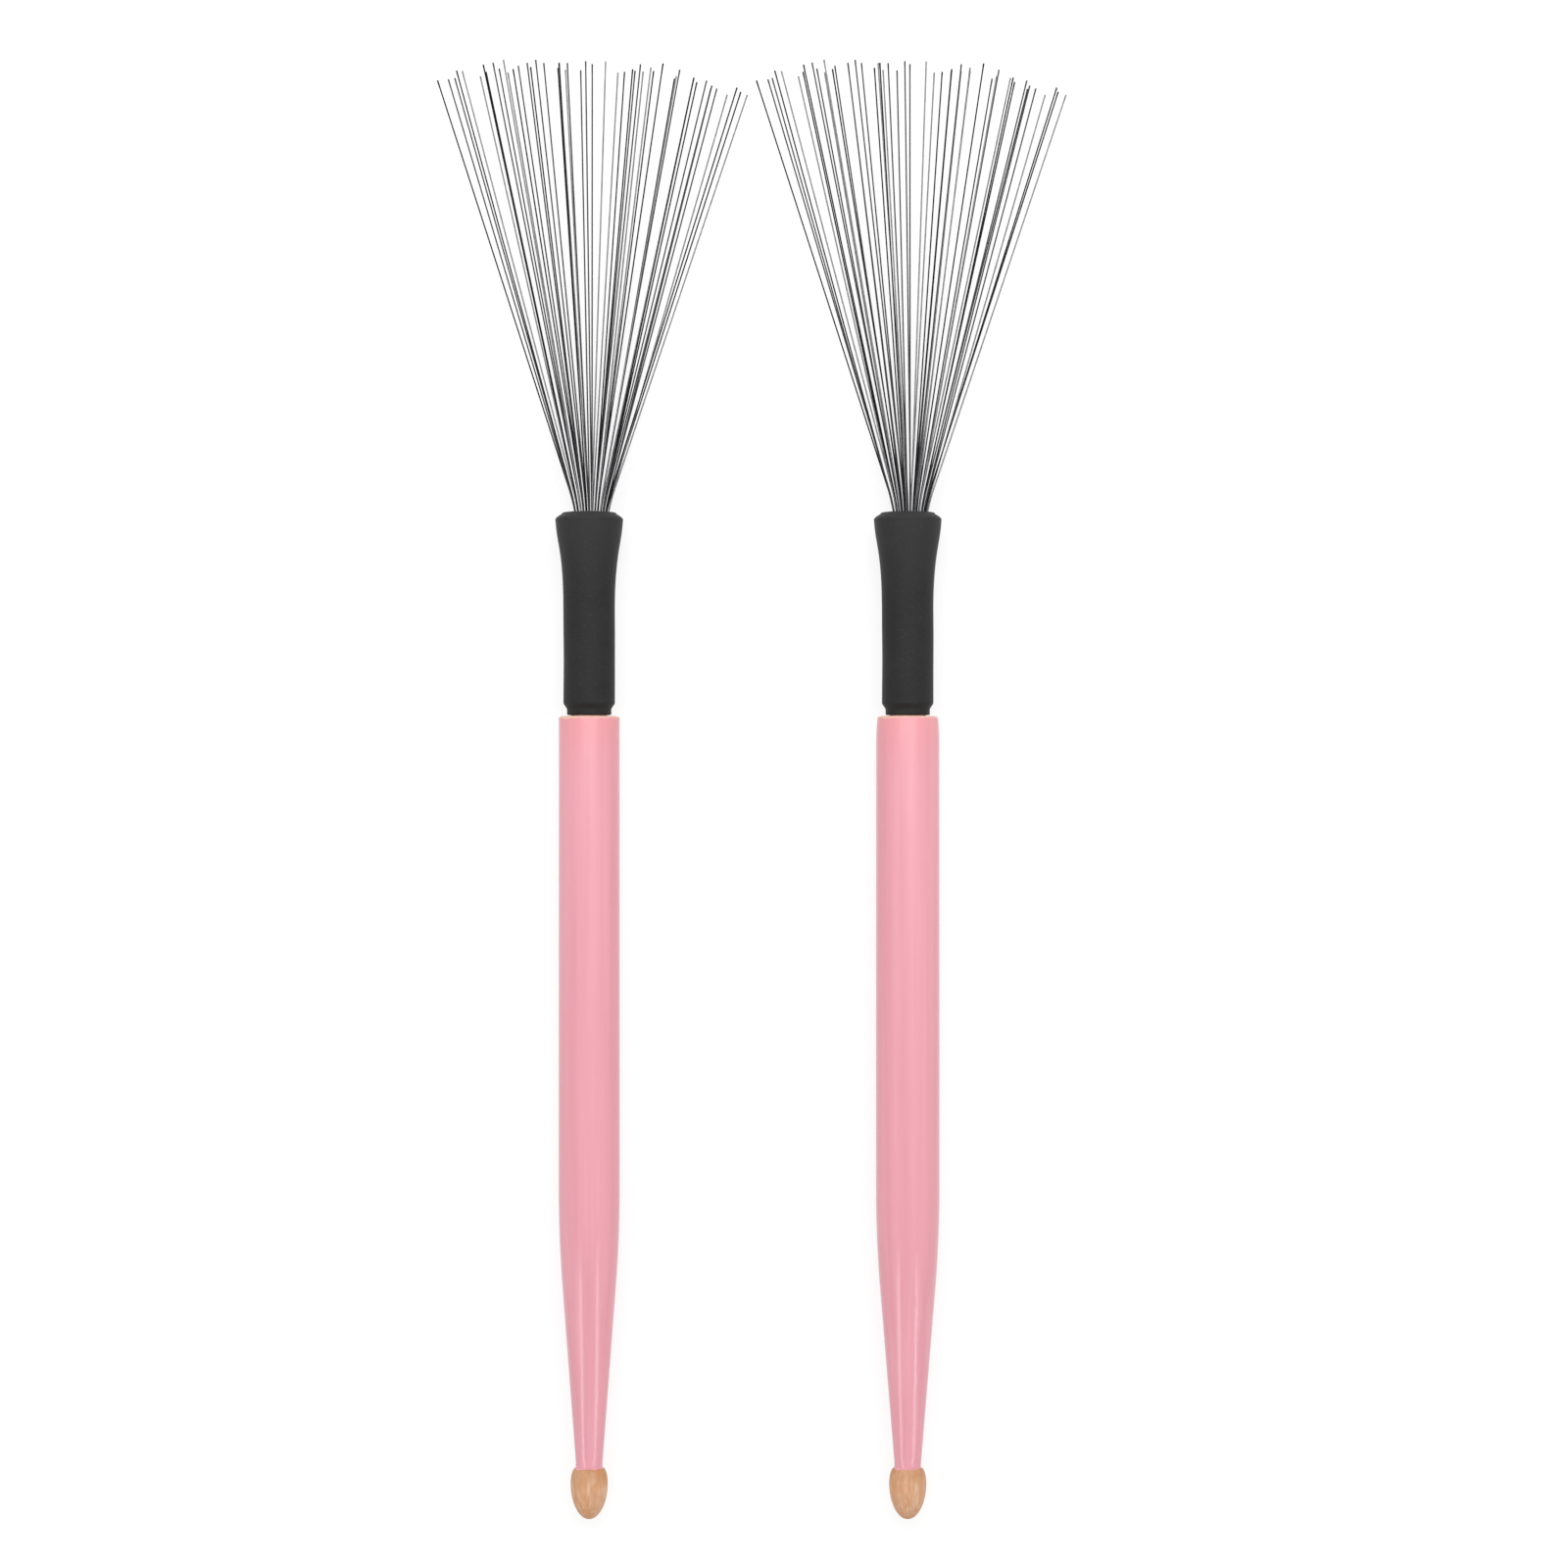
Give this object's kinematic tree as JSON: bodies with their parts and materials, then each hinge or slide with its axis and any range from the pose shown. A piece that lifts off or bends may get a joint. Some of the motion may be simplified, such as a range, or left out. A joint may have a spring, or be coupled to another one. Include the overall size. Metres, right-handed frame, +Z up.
{
  "type": "wire drum brushes",
  "caption": "Drum brushes with turned wooden drumstick handles, rubber sleeves and fans of springy steel wire for sweeping and tapping a drum head.",
  "frame": {"origin": "on the surface that the brushes lie on, midway between the two brushes and between their beads and the tips of their middle wires", "axes": "+Y along both brushes from the wooden tips to the wires, +X from the left brush to the right one, +Z up from the surface"},
  "size_m": [0.1541, 0.357, 0.0165],
  "materials": {
    "lacquered_wood": "glossy pink lacquer, with the bead and the butt's edge left bare",
    "sleeve_rubber": "matt dark grey",
    "ferrule_steel": "satin",
    "pin_steel": "satin",
    "wire_steel": "bright drawn wire"
  },
  "bodies": {
    "left_brush": {"left_stick": "lacquered_wood", "left_ferrule": "ferrule_steel", "left_sleeve": "sleeve_rubber", "left_lock_pin": "pin_steel", "left_loop_pin": "pin_steel"},
    "left_fan": {"left_inner_wire_01": "wire_steel", "left_inner_wire_02": "wire_steel", "left_inner_wire_03": "wire_steel", "left_inner_wire_04": "wire_steel", "left_inner_wire_05": "wire_steel", "left_inner_wire_06": "wire_steel", "left_inner_wire_07": "wire_steel", "left_inner_wire_08": "wire_steel", "left_inner_wire_09": "wire_steel", "left_inner_wire_10": "wire_steel", "left_inner_wire_11": "wire_steel", "left_inner_wire_12": "wire_steel", "left_inner_wire_13": "wire_steel", "left_outer_wire_01": "wire_steel", "left_outer_wire_02": "wire_steel", "left_outer_wire_03": "wire_steel", "left_outer_wire_04": "wire_steel", "left_outer_wire_05": "wire_steel", "left_outer_wire_06": "wire_steel", "left_outer_wire_07": "wire_steel", "left_outer_wire_08": "wire_steel", "left_outer_wire_09": "wire_steel", "left_outer_wire_10": "wire_steel", "left_outer_wire_11": "wire_steel", "left_outer_wire_12": "wire_steel"},
    "right_brush": {"right_stick": "lacquered_wood", "right_ferrule": "ferrule_steel", "right_sleeve": "sleeve_rubber", "right_lock_pin": "pin_steel", "right_loop_pin": "pin_steel"},
    "right_fan": {"right_inner_wire_01": "wire_steel", "right_inner_wire_02": "wire_steel", "right_inner_wire_03": "wire_steel", "right_inner_wire_04": "wire_steel", "right_inner_wire_05": "wire_steel", "right_inner_wire_06": "wire_steel", "right_inner_wire_07": "wire_steel", "right_inner_wire_08": "wire_steel", "right_inner_wire_09": "wire_steel", "right_inner_wire_10": "wire_steel", "right_inner_wire_11": "wire_steel", "right_inner_wire_12": "wire_steel", "right_inner_wire_13": "wire_steel", "right_outer_wire_01": "wire_steel", "right_outer_wire_02": "wire_steel", "right_outer_wire_03": "wire_steel", "right_outer_wire_04": "wire_steel", "right_outer_wire_05": "wire_steel", "right_outer_wire_06": "wire_steel", "right_outer_wire_07": "wire_steel", "right_outer_wire_08": "wire_steel", "right_outer_wire_09": "wire_steel", "right_outer_wire_10": "wire_steel", "right_outer_wire_11": "wire_steel", "right_outer_wire_12": "wire_steel"}
  },
  "joints": [
    {"name": "left_fan_flex", "type": "hinge", "parent": "left_brush", "child": "left_fan", "pos_m": [-0.039, 0.0602, 0.00823], "axis": [1, 0, 0], "range_deg": [-12, 12], "stiffness_Nm_per_rad": 0.2},
    {"name": "right_brush_lift", "type": "slide", "parent": "left_brush", "child": "right_brush", "axis": [0, 0, 1], "range_m": [0, 0.1]},
    {"name": "right_fan_flex", "type": "hinge", "parent": "right_brush", "child": "right_fan", "pos_m": [0.039, 0.0602, 0.00823], "axis": [1, 0, 0], "range_deg": [-12, 12], "stiffness_Nm_per_rad": 0.2}
  ]
}
